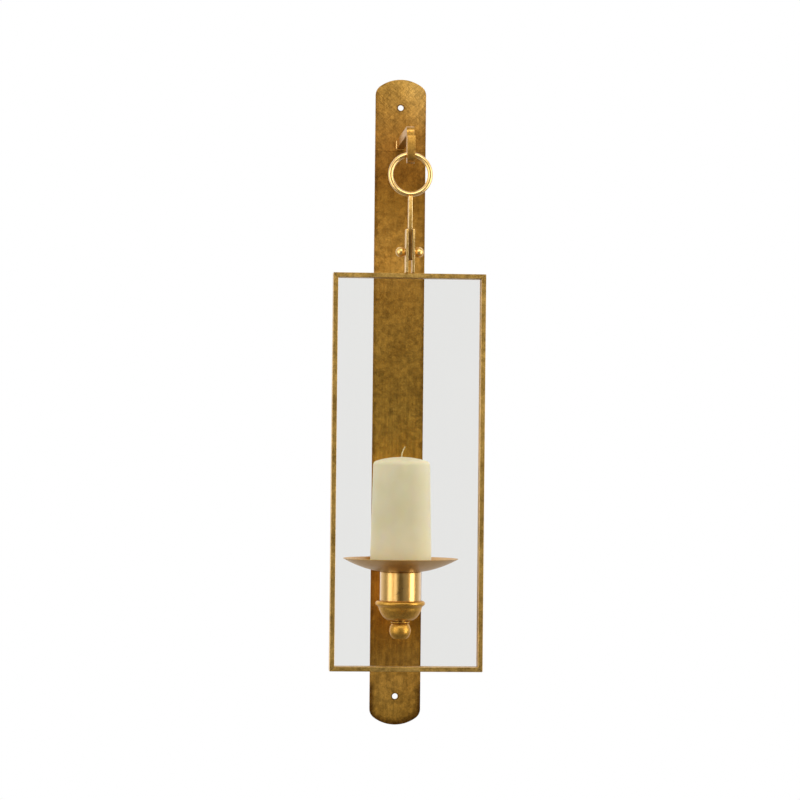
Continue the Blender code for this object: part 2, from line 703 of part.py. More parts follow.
def spike_outline(clearance):
    """Half profile of the spike above the flange, grown by a clearance, from tip to boss."""
    base_z = PRICKET_BASE_Z + PRICKET_FLANGE_THICKNESS
    boss_z = base_z + PRICKET_BOSS_HEIGHT
    tip = PRICKET_TIP_DIAMETER / 2 + clearance
    root = PRICKET_SPIKE_ROOT_DIAMETER / 2 + clearance
    boss = PRICKET_BOSS_DIAMETER / 2 + clearance
    return [
        (tip, boss_z + PRICKET_SPIKE_HEIGHT + clearance),
        (root, boss_z + clearance),
        (boss, boss_z - PRICKET_BOSS_CHAMFER + clearance),
    ]


def add_pricket(sconce):
    """A flanged spike on top of the tie rod; it clamps the dish and centres the candle."""
    flange_z = PRICKET_BASE_Z + PRICKET_FLANGE_THICKNESS
    flange = PRICKET_FLANGE_RADIUS
    hole_end = ROD_TOP_Z + GAP
    spike = spike_outline(0)
    profile = [(0, spike[0][1])] + spike
    profile += [(PRICKET_BOSS_DIAMETER / 2, flange_z), (flange, flange_z), (flange, PRICKET_BASE_Z)]
    profile += [(ROD_HOLE_RADIUS, PRICKET_BASE_Z), (ROD_HOLE_RADIUS, hole_end), (0, hole_end)]
    add_turned(sconce, "pricket", profile, GILT_DARK, SMALL_STEPS, closed=False)


def add_candle(sconce):
    """A pillar candle with a domed top, a pilot hole for the spike and a leaning wick."""
    base = CANDLE_BASE_RADIUS
    shoulder = (CANDLE_BASE_DIAMETER - CANDLE_TAPER) / 2
    dome_edge = shoulder - CANDLE_SHOULDER_RADIUS
    dome_radius = (dome_edge**2 + CANDLE_DOME_HEIGHT**2) / (2 * CANDLE_DOME_HEIGHT)
    slope = math.degrees(math.asin(dome_edge / dome_radius))
    shoulder_z = CANDLE_TOP_Z - CANDLE_DOME_HEIGHT
    seat_radius = WICK_DIAMETER / 2 + GAP
    seat_z = CANDLE_TOP_Z - WICK_SEAT - GAP
    profile = [(0, seat_z), (seat_radius, seat_z)]
    start = 90 - math.degrees(math.asin(seat_radius / dome_radius))
    profile += arc((0, CANDLE_TOP_Z - dome_radius), dome_radius, start, 90 - slope, steps=6)
    inset = CANDLE_SHOULDER_RADIUS * math.sin(math.radians(slope)) / 2
    profile += arc(
        (dome_edge - inset, shoulder_z - CANDLE_SHOULDER_RADIUS),
        CANDLE_SHOULDER_RADIUS,
        CANDLE_SHOULDER_START,
        CANDLE_SHOULDER_END,
        steps=5,
    )
    profile += [(base, CANDLE_BASE_Z + CANDLE_BASE_ROUNDING)]
    profile += [(base - CANDLE_BASE_ROUNDING, CANDLE_BASE_Z)]
    pilot = spike_outline(CANDLE_LIFT_CLEARANCE)
    pilot_radius = pilot[-1][0]
    profile += [(pilot_radius, CANDLE_BASE_Z)] + pilot[::-1] + [(0, pilot[0][1])]
    add_turned(sconce, "candle", profile, WAX, LARGE_STEPS, "candle_body", closed=False)
    add_wick(sconce)


def add_wick(sconce):
    curve = bpy.data.curves.new("wick", "CURVE")
    curve.dimensions = "3D"
    curve.bevel_depth = WICK_DIAMETER / 2
    curve.bevel_resolution = 1
    curve.use_fill_caps = True
    spline = curve.splines.new("POLY")
    steps = 7
    spline.points.add(steps + 1)
    spline.points[0].co = (0, 0, CANDLE_HEIGHT - WICK_SEAT, 1)
    for step in range(steps + 1):
        share = step / steps
        lean = WICK_LEAN * share**2
        height = CANDLE_HEIGHT + WICK_STRAIGHT + WICK_LENGTH * share
        spline.points[step + 1].co = (lean, 0, height, 1)
    wick = bpy.data.objects.new("wick", curve)
    curve.materials.append(add_material("wick", WICK_COTTON))
    sconce.parts.objects.link(wick)
    wick.parent = sconce.empties["candle_body"]


# ---------------------------------------------------------------- hanger and clevis


def add_hanger(sconce):
    centre = Vector((0, -HANG_DEPTH, RING_CENTRE_Z))
    ring = torus_mesh(RING_MEAN_RADIUS, RING_WIRE_RADIUS, centre, LARGE_STEPS, wire_steps=12)
    sconce.add("hanger_ring", ring, GILT, "hanger")

    top_z = RING_BOTTOM_Z + STEM_SEAT
    low = (HANG_DEPTH - STEM_DEPTH / 2, PIN_Z - TANG_BELOW_PIN)
    high = (HANG_DEPTH + STEM_DEPTH / 2, top_z)
    loops = [rounded_rectangle(low, high, STEM_CORNER_RADIUS)]
    loops.append(circle((HANG_DEPTH, PIN_Z), PIN_DIAMETER / 2 + GAP))
    mesh = outline_mesh(loops, STEM_WIDTH, SIDE_VIEW)
    stem = sconce.add("hanger_stem", smooth(mesh), GILT, "hanger")
    seat_radius = RING_WIRE_RADIUS + GAP
    seat = torus_mesh(RING_MEAN_RADIUS, seat_radius, centre, LARGE_STEPS, wire_steps=16)
    sconce.cut(stem, seat)


def add_clevis(sconce):
    """Two flat ears welded upright on the top rail, with the pin and its ball knobs."""
    low = (HANG_DEPTH - EAR_DEPTH / 2, FRAME_TOP_Z + GAP)
    high = (HANG_DEPTH + EAR_DEPTH / 2, PIN_Z + EAR_ABOVE_PIN)
    middle_x = (EAR_INNER_X + EAR_OUTER_X) / 2
    for name, side in (("clevis_ear_left", -1), ("clevis_ear_right", 1)):
        loops = [rounded_rectangle(low, high, EAR_CORNER_RADIUS)]
        loops.append(circle((HANG_DEPTH, PIN_Z), PIN_DIAMETER / 2 + GAP))
        mesh = outline_mesh(loops, EAR_THICKNESS, SIDE_VIEW, (side * middle_x, 0, 0))
        sconce.add(name, smooth(mesh), GILT, "glass_frame")

    pin_end = EAR_OUTER_X + GAP + PIN_GRIP_IN_KNOB
    ends = [Vector((side * pin_end, -HANG_DEPTH, PIN_Z)) for side in (-1, 1)]
    sconce.add("clevis_pin", cylinder_mesh(PIN_DIAMETER / 2, *ends), GILT_DARK, "glass_frame")
    for name, side in (("pin_knob_left", -1), ("pin_knob_right", 1)):
        add_pin_knob(sconce, name, side)


def add_pin_knob(sconce, name, side):
    """A ball with a short neck, bored for the pin; its profile is drawn pole up."""
    radius = KNOB_DIAMETER / 2
    centre = KNOB_LENGTH - radius
    neck = KNOB_NECK_DIAMETER / 2
    hole = PIN_DIAMETER / 2 + GAP
    hole_end = PIN_GRIP_IN_KNOB + GAP
    neck_angle = math.degrees(math.asin((centre - KNOB_NECK_LENGTH) / radius))
    profile = arc((0, centre), radius, 90, -neck_angle, steps=10)
    profile[0] = (0, KNOB_LENGTH)
    profile += [(neck, KNOB_NECK_LENGTH), (neck, 0), (hole, 0), (hole, hole_end), (0, hole_end)]
    mesh = profile_mesh(profile, closed=False)
    seat = (side * (EAR_OUTER_X + GAP), -HANG_DEPTH, PIN_Z)
    knob = sconce.add(name, mesh, GILT, "glass_frame", seat)
    knob.rotation_euler = (0, side * math.radians(90), 0)
    turn_profile(knob, SMALL_STEPS)


# ---------------------------------------------------------------- glazed frame


def add_frame_bar(sconce, name, centre, length, turn):
    """One bar: an L section, rebated behind its front lip, with mitred ends.

    It is drawn along X with its outer face up, then turned in the plane of the frame.
    """
    glass_front = GLASS_THICKNESS / 2 + GAP
    half_depth = FRAME_BAR_DEPTH / 2
    half_bar = FRAME_BAR_WIDTH / 2
    rebate = half_bar - REBATE_WIDTH
    section = [
        (-half_depth, half_bar),
        (-half_depth, rebate),
        (glass_front, rebate),
        (glass_front, -half_bar),
        (half_depth, -half_bar),
        (half_depth, half_bar),
    ]
    mesh = outline_mesh([section[::-1]], length + FRAME_BAR_WIDTH, SIDE_VIEW)
    place = Matrix.Translation(centre) @ Matrix.Rotation(turn, 4, "Y")
    mesh.transform(place)
    bar = sconce.add(name, smooth(mesh), GILT, "glass_frame")
    round_edges(bar, FRAME_EDGE_ROUNDING)
    reach = length
    for side in (-1, 1):
        cutter = box_mesh((0, -reach, -reach), (2 * reach, reach, reach))
        corner = Vector((side * (length / 2 - GAP / math.sqrt(2)), 0, half_bar))
        lean = Matrix.Rotation(math.radians(45 * side), 4, "Y")
        if side < 0:
            lean = lean @ Matrix.Rotation(math.radians(180), 4, "Z")
        cutter.transform(place @ Matrix.Translation(corner) @ lean)
        sconce.cut(bar, cutter)


def add_screen_frame(sconce):
    half_bar = FRAME_BAR_WIDTH / 2
    side_x = FRAME_WIDTH / 2 - half_bar
    end_z = FRAME_HEIGHT / 2 - half_bar
    bars = (
        ("frame_top_rail", (0, end_z), FRAME_WIDTH, 0),
        ("frame_right_stile", (side_x, 0), FRAME_HEIGHT, 90),
        ("frame_bottom_rail", (0, -end_z), FRAME_WIDTH, 180),
        ("frame_left_stile", (-side_x, 0), FRAME_HEIGHT, 270),
    )
    for name, (across, along), length, turn in bars:
        centre = Vector((across, -HANG_DEPTH, FRAME_CENTRE_Z + along))
        add_frame_bar(sconce, name, centre, length, math.radians(turn))


def add_glazing(sconce):
    """The glass in its rebate, and the four beads that hold it from behind."""
    opening_x = FRAME_WIDTH / 2 - FRAME_BAR_WIDTH + REBATE_WIDTH - GAP
    opening_z = FRAME_HEIGHT / 2 - FRAME_BAR_WIDTH + REBATE_WIDTH - GAP
    glass_half = GLASS_THICKNESS / 2
    centre = Vector((0, -HANG_DEPTH, FRAME_CENTRE_Z))
    corner = Vector((opening_x, glass_half, opening_z))
    pane = sconce.add("glass_pane", box_mesh(centre - corner, centre + corner), GLASS, "glass_frame")
    round_edges(pane, FRAME_EDGE_ROUNDING)

    bead_front = glass_half + GAP
    bead_back = FRAME_BAR_DEPTH / 2
    bead = REBATE_WIDTH - GAP
    side_reach = opening_z - bead - GAP
    beads = (
        ("glazing_bead_top", (-opening_x, opening_z - bead), (opening_x, opening_z)),
        ("glazing_bead_bottom", (-opening_x, -opening_z), (opening_x, bead - opening_z)),
        ("glazing_bead_left", (-opening_x, -side_reach), (bead - opening_x, side_reach)),
        ("glazing_bead_right", (opening_x - bead, -side_reach), (opening_x, side_reach)),
    )
    for name, low, high in beads:
        mesh = box_mesh(
            centre + Vector((low[0], bead_front, low[1])),
            centre + Vector((high[0], bead_back, high[1])),
        )
        round_edges(sconce.add(name, mesh, GILT_DARK, "glass_frame"), FRAME_EDGE_ROUNDING)


def main():
    clear_scene()
    sconce = Sconce()
    add_backplate(sconce)
    add_hook_arm(sconce)
    add_support_arm(sconce)
    add_drip_dish(sconce)
    add_candle_cup(sconce)
    add_cup_bowl(sconce)
    add_finial(sconce)
    add_tie_rod(sconce)
    add_pricket(sconce)
    add_candle(sconce)
    add_hanger(sconce)
    add_clevis(sconce)
    add_screen_frame(sconce)
    add_glazing(sconce)
    bpy.context.view_layer.update()


main()
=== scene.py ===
"""The looks of a gilded wall sconce with a hanging glass screen and a pillar candle.

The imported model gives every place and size.  Turned pieces are turned again with finer
steps, bars and plates are copied with soft worn edges, and small things are added: weld
beads, the braid of the wick, and the slight unevenness of the wire and the wax.
"""
import json
import math
import random

import bmesh
import bpy
from mathutils import Matrix, Vector, noise


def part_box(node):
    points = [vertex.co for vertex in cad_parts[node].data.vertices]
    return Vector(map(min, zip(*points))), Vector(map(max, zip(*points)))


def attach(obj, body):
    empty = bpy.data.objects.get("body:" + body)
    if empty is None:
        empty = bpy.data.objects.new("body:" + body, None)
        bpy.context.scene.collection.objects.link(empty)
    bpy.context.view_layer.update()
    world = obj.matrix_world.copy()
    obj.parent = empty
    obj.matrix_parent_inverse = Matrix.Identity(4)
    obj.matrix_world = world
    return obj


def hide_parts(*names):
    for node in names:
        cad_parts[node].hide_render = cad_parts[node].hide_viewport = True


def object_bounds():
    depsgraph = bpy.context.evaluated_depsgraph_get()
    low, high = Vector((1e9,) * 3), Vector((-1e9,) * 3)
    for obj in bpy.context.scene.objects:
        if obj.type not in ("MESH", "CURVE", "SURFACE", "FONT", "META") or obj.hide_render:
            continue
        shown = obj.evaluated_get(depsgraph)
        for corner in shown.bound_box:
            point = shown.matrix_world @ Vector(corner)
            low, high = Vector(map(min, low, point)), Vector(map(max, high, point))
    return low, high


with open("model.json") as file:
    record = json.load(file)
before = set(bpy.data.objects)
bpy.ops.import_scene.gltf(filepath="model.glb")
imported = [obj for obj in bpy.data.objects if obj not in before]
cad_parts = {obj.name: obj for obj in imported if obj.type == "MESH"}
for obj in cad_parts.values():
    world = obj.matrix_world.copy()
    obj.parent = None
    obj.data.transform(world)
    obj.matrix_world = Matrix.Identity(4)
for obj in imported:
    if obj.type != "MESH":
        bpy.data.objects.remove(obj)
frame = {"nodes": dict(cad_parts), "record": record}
CAD_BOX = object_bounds()

# Vertices of the imported solids closer than this are one vertex, and facets that meet at
# less than this many degrees are one flat face
WELD = 0.00001
FLAT_ANGLE = 0.4

# Faces that meet at more than this many degrees keep a crisp edge between them
CRISP_ANGLE = 40
TURNED_CRISP_ANGLE = 50

# Turned pieces: steps round a full turn, how far sharp edges are eased and the most of a step
# that this takes, what counts as a sharp edge in degrees, and how unequal the neighbouring
# steps of one arc may be
FINE_STEPS = 128
EDGE_EASE = 0.0003
EASE_SHARE = 0.35
CORNER_ANGLE = 33
STEP_RATIO = (0.4, 2.5)

# Backplate: how far in its screw holes are from each end, and their radius
HOLE_INSET = 0.032
HOLE_RADIUS = 0.00325

# Camera: a long lens, nearly level, from a little left of the middle and below it
CAMERA_PLACE = Vector((-0.245, -3.39, -0.066))
CAMERA_AIM = Vector((0.0024, -0.004, 0.0017))
CAMERA_LENS = 135
CAMERA_SENSOR = 36
CAMERA_ROLL = math.radians(0.58)

# Studio: soft boxes as (azimuth from the front, height, distance, width, length, radiance)
BOX_HEIGHT = 0.05
LEFT_BOX = (-50, BOX_HEIGHT, 1.9, 1.9, 1.9, 2.2)
RIGHT_BOX = (59, BOX_HEIGHT, 1.9, 1.15, 1.9, 4.4)
TOP_PLACE = Vector((0.1, -1.3, 1.15))
TOP_AIM = Vector((0, 0, 0.25))
TOP_SIZE = (1.4, 0.5)
TOP_POWER = 12.0

# Studio: the surroundings that the gold reflects, in front and behind, how much is added
# above and kept below, and a dark patch: its direction, its outer and inner angle in
# radians, and the share of light kept in it
FRONT_LEVEL = 0.46
BACK_LEVEL = 1.25
ABOVE_EXTRA = 0.35
BELOW_SHARE = 0.55
DARK_MIDDLE = Vector((-0.10, -1.0, -0.02)).normalized()
DARK_OUTER, DARK_INNER = 0.40, 0.20
DARK_SHARE = 0.10
WARM_WHITE = (1, 0.985, 0.96, 1)
WHITE = (1, 1, 1, 1)
FLOOR_DROP = 0.065
FLOOR_SIZE = 6.0


# ---------------------------------------------------------------- node shorthand


class Nodes:
    """Adds nodes to a tree and joins them, so that a material reads as a list of steps."""

    def __init__(self, tree):
        self.tree = tree
        tree.nodes.clear()

    def add(self, kind, inputs=None, **settings):
        node = self.tree.nodes.new("ShaderNode" + kind)
        for name, value in settings.items():
            setattr(node, name, value)
        for name, value in (inputs or {}).items():
            self.feed(node.inputs[name], value)
        return node

    def feed(self, socket, value):
        """Joins an output to a socket, or sets the socket's own value."""
        if isinstance(value, bpy.types.NodeSocket):
            self.tree.links.new(value, socket)
        else:
            socket.default_value = value

    def math(self, operation, first, second=None, third=None):
        node = self.tree.nodes.new("ShaderNodeMath")
        node.operation = operation
        for socket, value in zip(node.inputs, (first, second, third)):
            if value is not None:
                self.feed(socket, value)
        return node.outputs[0]

    def position(self, stretch=(1, 1, 1), turn=(0, 0, 0), shift=(0, 0, 0)):
        """The piece's own coordinates in metres, stretched, turned and shifted."""
        coords = self.add("TexCoord")
        inputs = {"Vector": coords.outputs["Object"], "Scale": stretch}
        inputs["Rotation"] = [math.radians(angle) for angle in turn]
        inputs["Location"] = shift
        return self.add("Mapping", inputs).outputs["Vector"]

    def noise(self, size, where, detail=5.0, roughness=0.55, distortion=0.0):
        """Fractal noise from 0 to 1 whose blotches are about size metres wide."""
        inputs = {
            "Vector": where,
            "Scale": 1 / size,
            "Detail": detail,
            "Roughness": roughness,
            "Distortion": distortion,
        }
        return self.add("TexNoise", inputs).outputs["Fac"]

    def span(self, value, low, high, to_low=0.0, to_high=1.0, smooth=True):
        """Carries the part of value from low to high over to to_low to to_high."""
        inputs = {
            "Value": value,
            "From Min": low,
            "From Max": high,
            "To Min": to_low,
            "To Max": to_high,
        }
        kind = "SMOOTHSTEP" if smooth else "LINEAR"
        return self.add("MapRange", inputs, interpolation_type=kind).outputs["Result"]

    def vary(self, noise_value, to_low, to_high):
        """Carries fractal noise, which seldom leaves 0.3 to 0.7, over to a range."""
        return self.span(noise_value, 0.3, 0.7, to_low, to_high)

    def distance(self, where, point):
        offset = self.add("VectorMath", {0: where, 1: point}, operation="DISTANCE")
        return offset.outputs["Value"]

    def bump(self, height, strength, distance=0.0003):
        """Normals raised by a height from 0 to 1 that stands for distance metres."""
        inputs = {"Height": height, "Strength": strength, "Distance": distance}
        return self.add("Bump", inputs).outputs["Normal"]

    def multiplied(self, share, colour, factor):
        """The colour times a factor, where share says."""
        return self.blend(share, colour, self.blend(1.0, colour, factor, "MULTIPLY"))

    def blend(self, share, first, second, mode="MIX"):
        """Mixes two colours."""
        node = self.add("Mix", data_type="RGBA", blend_type=mode)
        self.feed(node.inputs["Factor"], share)
        self.feed(node.inputs["A"], first)
        self.feed(node.inputs["B"], second)
        return node.outputs["Result"]

    def mix_shaders(self, share, first, second):
        node = self.add("MixShader", {"Fac": share})
        self.feed(node.inputs[1], first.outputs[0])
        self.feed(node.inputs[2], second.outputs[0])
        return node

    def ramp(self, value, stops):
        """A colour ramp with (place, colour) stops."""
        node = self.add("ValToRGB", {"Fac": value})
        elements = node.color_ramp.elements
        while len(elements) < len(stops):
            elements.new(0.5)
        for element, (place, colour) in zip(elements, stops):
            element.position = place
            element.color = (*colour, 1)
        return node.outputs["Color"]


def new_material(name):
    material = bpy.data.materials.new(name)
    material.use_nodes = True
    return material, Nodes(material.node_tree)


def close_material(nodes, shader):
    nodes.add("OutputMaterial", {"Surface": shader.outputs[0]})


# ---------------------------------------------------------------- materials


def shade(colour, share):
    return tuple(channel * share for channel in colour)


# Gold leaf: the widths of its blotches in metres, and their shares of the tone
CLOUDS, CLOUDS_SHARE = 0.040, 0.34
MOTTLE, MOTTLE_SHARE = 0.0060, 0.16
GRAIN, GRAIN_SHARE = 0.0019, 0.50
SPECKS = 0.0024
GLINT = (0.95, 0.78, 0.46, 1)
VARNISH_IOR = 1.9
VARNISH_ROUGHNESS = 0.24


def gold_leaf(name, bright, deep, rough, coat=0.1, wear=0.35, relief=0.3, shift=0.0, extra=None):
    """Aged gold leaf under old varnish: clouds, mottling, fine grain and rubbed specks.

    extra, where given, changes the colour and the height for one piece's own marks, painted shade
    and painted highlight.
    """
    material, nodes = new_material(name)
    place = nodes.position(shift=(shift, 0, shift))
    clouds = nodes.noise(CLOUDS, place, detail=3, distortion=0.5)
    mottle = nodes.noise(MOTTLE, place, detail=6, roughness=0.70, distortion=0.3)
    grain = nodes.noise(GRAIN, place, detail=5, roughness=0.75)
    tone = nodes.math("MULTIPLY", mottle, MOTTLE_SHARE)
    tone = nodes.math("MULTIPLY_ADD", clouds, CLOUDS_SHARE, tone)
    tone = nodes.math("MULTIPLY_ADD", grain, GRAIN_SHARE, tone)
    middle = tuple((one + other) / 2 for one, other in zip(bright, deep))
    colour = nodes.ramp(tone, [(0.38, deep), (0.50, middle), (0.62, bright)])
    height = nodes.math("MULTIPLY_ADD", mottle, 0.7, nodes.math("MULTIPLY", grain, 0.45))

    specks = nodes.noise(SPECKS, place, detail=5, roughness=0.75, distortion=0.4)
    rubbed = nodes.span(specks, 0.61, 0.74, 0.0, wear)
    colour = nodes.blend(rubbed, colour, (*shade(deep, 0.45), 1))
    glints = nodes.span(specks, 0.36, 0.27, 0.0, 0.5 * wear)
    colour = nodes.blend(glints, colour, GLINT)
    if extra:
        colour, height = extra(nodes, colour, height)

    normal = nodes.bump(height, relief)
    shader = nodes.add(
        "BsdfPrincipled",
        {
            "Base Color": colour,
            "Metallic": 1.0,
            "Roughness": nodes.vary(mottle, *rough),
            "Normal": normal,
            "Coat Weight": coat,
            "Coat IOR": VARNISH_IOR,
            "Coat Roughness": VARNISH_ROUGHNESS,
            "Coat Normal": normal,
        },
    )
    close_material(nodes, shader)
    return material


# Backplate: tone along its length, from the lower end (0) to the upper end (1); the dark stops at
# 0.81 and 0.85 are painted shade behind the ring and under the hook arm
STRIP_TONE_AND_SHADE = [
    (0.00, (0.90, 0.88, 0.80)),
    (0.07, (1.25, 1.25, 1.45)),
    (0.15, (1.05, 0.92, 0.60)),
    (0.50, (1.05, 1.09, 1.07)),
    (0.66, (0.92, 0.90, 0.90)),
    (0.72, (1.08, 1.06, 1.25)),
    (0.81, (0.58, 0.52, 0.44)),
    (0.85, (0.54, 0.44, 0.38)),
    (0.91, (0.72, 0.64, 0.70)),
    (1.00, (0.78, 0.82, 1.10)),
]
# Painted highlight at the top of the backplate
HIGHLIGHT_TINT = (1.30, 1.36, 1.60, 1)
# Painted shade round the screw holes
HOLE_SHADE_TINT = (0.30, 0.26, 0.22, 1)
SEAM_TINT = (0.42, 0.36, 0.30, 1)
BURNT_TINT = (0.30, 0.24, 0.18, 1)
# Painted shade on the tang between the ears
TANG_SHADE_TINT = (0.40, 0.33, 0.24, 1)

# Backplate: crossed scratches as (slant in degrees, strength), their width in metres, and
# how much their pattern is drawn out along them
SCRATCHES = ((48, 1.0), (-42, 0.8))
SCRATCH_WIDTH = 0.0017
SCRATCH_STRETCH = 0.11
# Backplate: where two sheets of leaf meet, below its upper end and above its middle
UPPER_SEAM_DROP = 0.0815
LOWER_SEAM_HEIGHT = 0.021
# Backplate: radius of the circle that the burnt rim round its lower end follows
END_RADIUS = 0.040


def strip_marks_and_shade(nodes, colour, height):
    """The backplate's own marks and its painted shade and highlight, laid over one another in
    this order.
    """
    where = nodes.position()
    axes = nodes.add("SeparateXYZ", {"Vector": where})
    across, up = axes.outputs["X"], axes.outputs["Z"]
    wander = nodes.noise(0.012, where, detail=4)
    colour = strip_tone_and_shade(nodes, colour, across, up)
    colour = hole_shade_rims(nodes, colour, where, wander)
    colour, height = crossed_scratches(nodes, colour, height, up)
    colour = lower_streaks(nodes, colour, up)
    colour, height = leaf_seams(nodes, colour, height, across, up, wander)
    colour = burnt_rims(nodes, colour, where, across, up, wander)
    return colour, height


def strip_tone_and_shade(nodes, colour, across, up):
    """A painted highlight at the top, painted shade behind the ring and under the hook arm, even
    behind the glass.
    """
    low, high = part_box("backplate")
    share = nodes.span(up, low.z, high.z, smooth=False)
    colour = nodes.blend(1.0, colour, nodes.ramp(share, STRIP_TONE_AND_SHADE), "MULTIPLY")
    # Painted highlight: lighter to the right of the upper hole
    upper = nodes.span(up, high.z - 0.065, high.z - 0.040)
    top_highlight = nodes.math("MULTIPLY", nodes.span(across, -0.006, 0.020), upper)
    return nodes.multiplied(top_highlight, colour, HIGHLIGHT_TINT)


def hole_shade_rims(nodes, colour, where, wander):
    """Painted shade: a dark uneven line round each screw hole, on the front face, for the hole's
    shaded wall.
    """
    low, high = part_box("backplate")
    for hole_z in (high.z - HOLE_INSET, low.z + HOLE_INSET):
        off = nodes.distance(where, (0, low.y, hole_z))
        off = nodes.math("MULTIPLY_ADD", wander, -0.0012, off)
        rim = nodes.span(off, HOLE_RADIUS + 0.0001, HOLE_RADIUS + 0.0009, 0.9, 0.0)
        colour = nodes.multiplied(rim, colour, HOLE_SHADE_TINT)
    return colour


def crossed_scratches(nodes, colour, height, up):
    """Short fine scratches both ways across the upper end, so fine that they read as mottle."""
    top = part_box("backplate")[1].z
    near_top = nodes.span(up, top - 0.150, top - 0.030)
    for slant, weight in SCRATCHES:
        turned = nodes.position(turn=(0, slant, 0))
        drawn = nodes.add("Mapping", {"Vector": turned, "Scale": (1, 1, SCRATCH_STRETCH)})
        scratches = nodes.noise(SCRATCH_WIDTH, drawn.outputs["Vector"], detail=4)
        stroke = nodes.span(scratches, 0.36, 0.64, 1 - 0.12 * weight, 1 + 0.10 * weight)
        colour = nodes.multiplied(near_top, colour, stroke)
        raised = nodes.math("MULTIPLY", near_top, 0.5)
        height = nodes.math("MULTIPLY_ADD", scratches, raised, height)
    return colour, height


def lower_streaks(nodes, colour, up):
    """Brushed streaks along the plate, strongest on its lower half."""
    lines = nodes.noise(0.0034, nodes.position(stretch=(1, 1, 0.05)), detail=4, roughness=0.6)
    streak = nodes.span(lines, 0.34, 0.66, 0.84, 1.12)
    lower = nodes.span(up, 0.06, -0.04, 0.45, 1.0)
    return nodes.multiplied(lower, colour, streak)


def leaf_seams(nodes, colour, height, across, up, wander):
    """Thin wavering lines where one sheet of leaf laps over the next."""
    upper_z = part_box("backplate")[1].z - UPPER_SEAM_DROP
    for seam_z, slope, dark in ((upper_z, 0.02, 0.40), (LOWER_SEAM_HEIGHT, -0.10, 0.22)):
        line = nodes.math("MULTIPLY_ADD", across, slope, up)
        line = nodes.math("MULTIPLY_ADD", wander, 0.0025, line)
        away = nodes.math("ABSOLUTE", nodes.math("SUBTRACT", line, seam_z + 0.0012))
        seam = nodes.span(away, 0.0002, 0.0010, dark, 0.0)
        colour = nodes.multiplied(seam, colour, SEAM_TINT)
        height = nodes.math("MULTIPLY_ADD", seam, 0.8, height)
    return colour, height


def burnt_rims(nodes, colour, where, across, up, wander):
    """Rims burnt brown along the sides, and wider round the lower end."""
    low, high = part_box("backplate")
    end_z = low.z + END_RADIUS
    below = nodes.span(up, end_z + 0.020, end_z - 0.005)
    inset = nodes.math("SUBTRACT", high.x, nodes.math("ABSOLUTE", across))
    round_end = nodes.math("SUBTRACT", END_RADIUS, nodes.distance(where, (0, 0, end_z)))
    inset_end = nodes.math("MINIMUM", inset, round_end)
    ragged = nodes.math("MULTIPLY_ADD", wander, 0.008, -0.004)
    side_rim = nodes.span(nodes.math("ADD", inset, ragged), 0.0005, 0.0050, 0.40, 0.0)
    end_rim = nodes.span(nodes.math("ADD", inset_end, ragged), 0.0, 0.0085, 1.0, 0.0)
    rim = nodes.math("MAXIMUM", side_rim, nodes.math("MULTIPLY", end_rim, below))
    return nodes.multiplied(rim, colour, BURNT_TINT)


def hinge_shade(nodes, colour, height):
    """Painted shade on the tang, where it turns between the ears."""
    ears_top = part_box("clevis_ear_left")[1].z
    axes = nodes.add("SeparateXYZ", {"Vector": nodes.position()})
    inside = nodes.span(axes.outputs["Z"], ears_top + 0.002, ears_top - 0.004, 0.0, 0.9)
    return nodes.multiplied(inside, colour, TANG_SHADE_TINT), height


def worn_edge(name, colour):
    """Where hands and cloth have rubbed the leaf bright along an edge."""
    material, nodes = new_material(name)
    place = nodes.position()
    patches = nodes.noise(0.006, place, detail=6, roughness=0.75)
    stops = [(0.36, shade(colour, 0.42)), (0.48, shade(colour, 0.8)), (0.62, colour)]
    grain = nodes.noise(0.0014, place, detail=4)
    shader = nodes.add(
        "BsdfPrincipled",
        {
            "Base Color": nodes.ramp(patches, stops),
            "Metallic": 1.0,
            "Roughness": nodes.vary(patches, 0.40, 0.30),
            "Normal": nodes.bump(grain, 0.25),
            "Coat Weight": 0.3,
            "Coat IOR": 1.8,
            "Coat Roughness": 0.25,
        },
    )
    close_material(nodes, shader)
    return material


def plain_steel(name):
    """Zinc-plated steel with fine turning lines and duller patches."""
    material, nodes = new_material(name)
    lines = nodes.noise(0.0009, nodes.position(stretch=(0.2, 0.2, 3)), detail=4)
    patches = nodes.noise(0.006, nodes.position(), detail=5)
    stops = [(0.35, (0.26, 0.25, 0.24)), (0.65, (0.46, 0.45, 0.43))]
    shader = nodes.add(
        "BsdfPrincipled",
        {
            "Base Color": nodes.ramp(patches, stops),
            "Metallic": 1.0,
            "Roughness": nodes.vary(patches, 0.28, 0.46),
            "Normal": nodes.bump(lines, 0.3, 0.0002),
        },
    )
    close_material(nodes, shader)
    return material


# Glass: the share of light it passes, how much its haze takes off that, its blue against
# the rest, and the share it reflects face on and the share added at a glance
CLEARNESS = 0.909
HAZE = 0.012
BLUE_SHARE = 0.992
FACE_ON = 0.019
GLANCE = 0.53


def clear_glass(name):
    """Flat glass: it passes light with a faint grey tint and reflects at a glance."""
    material, nodes = new_material(name)
    haze = nodes.noise(0.09, nodes.position(stretch=(1, 1, 0.35)), detail=2)
    dim = nodes.math("MULTIPLY_ADD", haze, -HAZE, CLEARNESS)
    tint = nodes.add("CombineColor", {"Red": dim, "Green": dim})
    nodes.feed(tint.inputs["Blue"], nodes.math("MULTIPLY", dim, BLUE_SHARE))
    through = nodes.add("BsdfTransparent", {"Color": tint.outputs["Color"]})
    gloss = nodes.add("BsdfGlossy", {"Color": WHITE, "Roughness": 0.02})
    # Schlick's curve is the same from both faces; a Fresnel node turns the far face into a
    # mirror at a slant, because this glass doesn't bend the light
    facing = nodes.add("LayerWeight", {"Blend": 0.5}).outputs["Facing"]
    share = nodes.math("MULTIPLY_ADD", nodes.math("POWER", facing, 5.0), GLANCE, FACE_ON)
    close_material(nodes, nodes.mix_shaders(share, through, gloss))
    return material


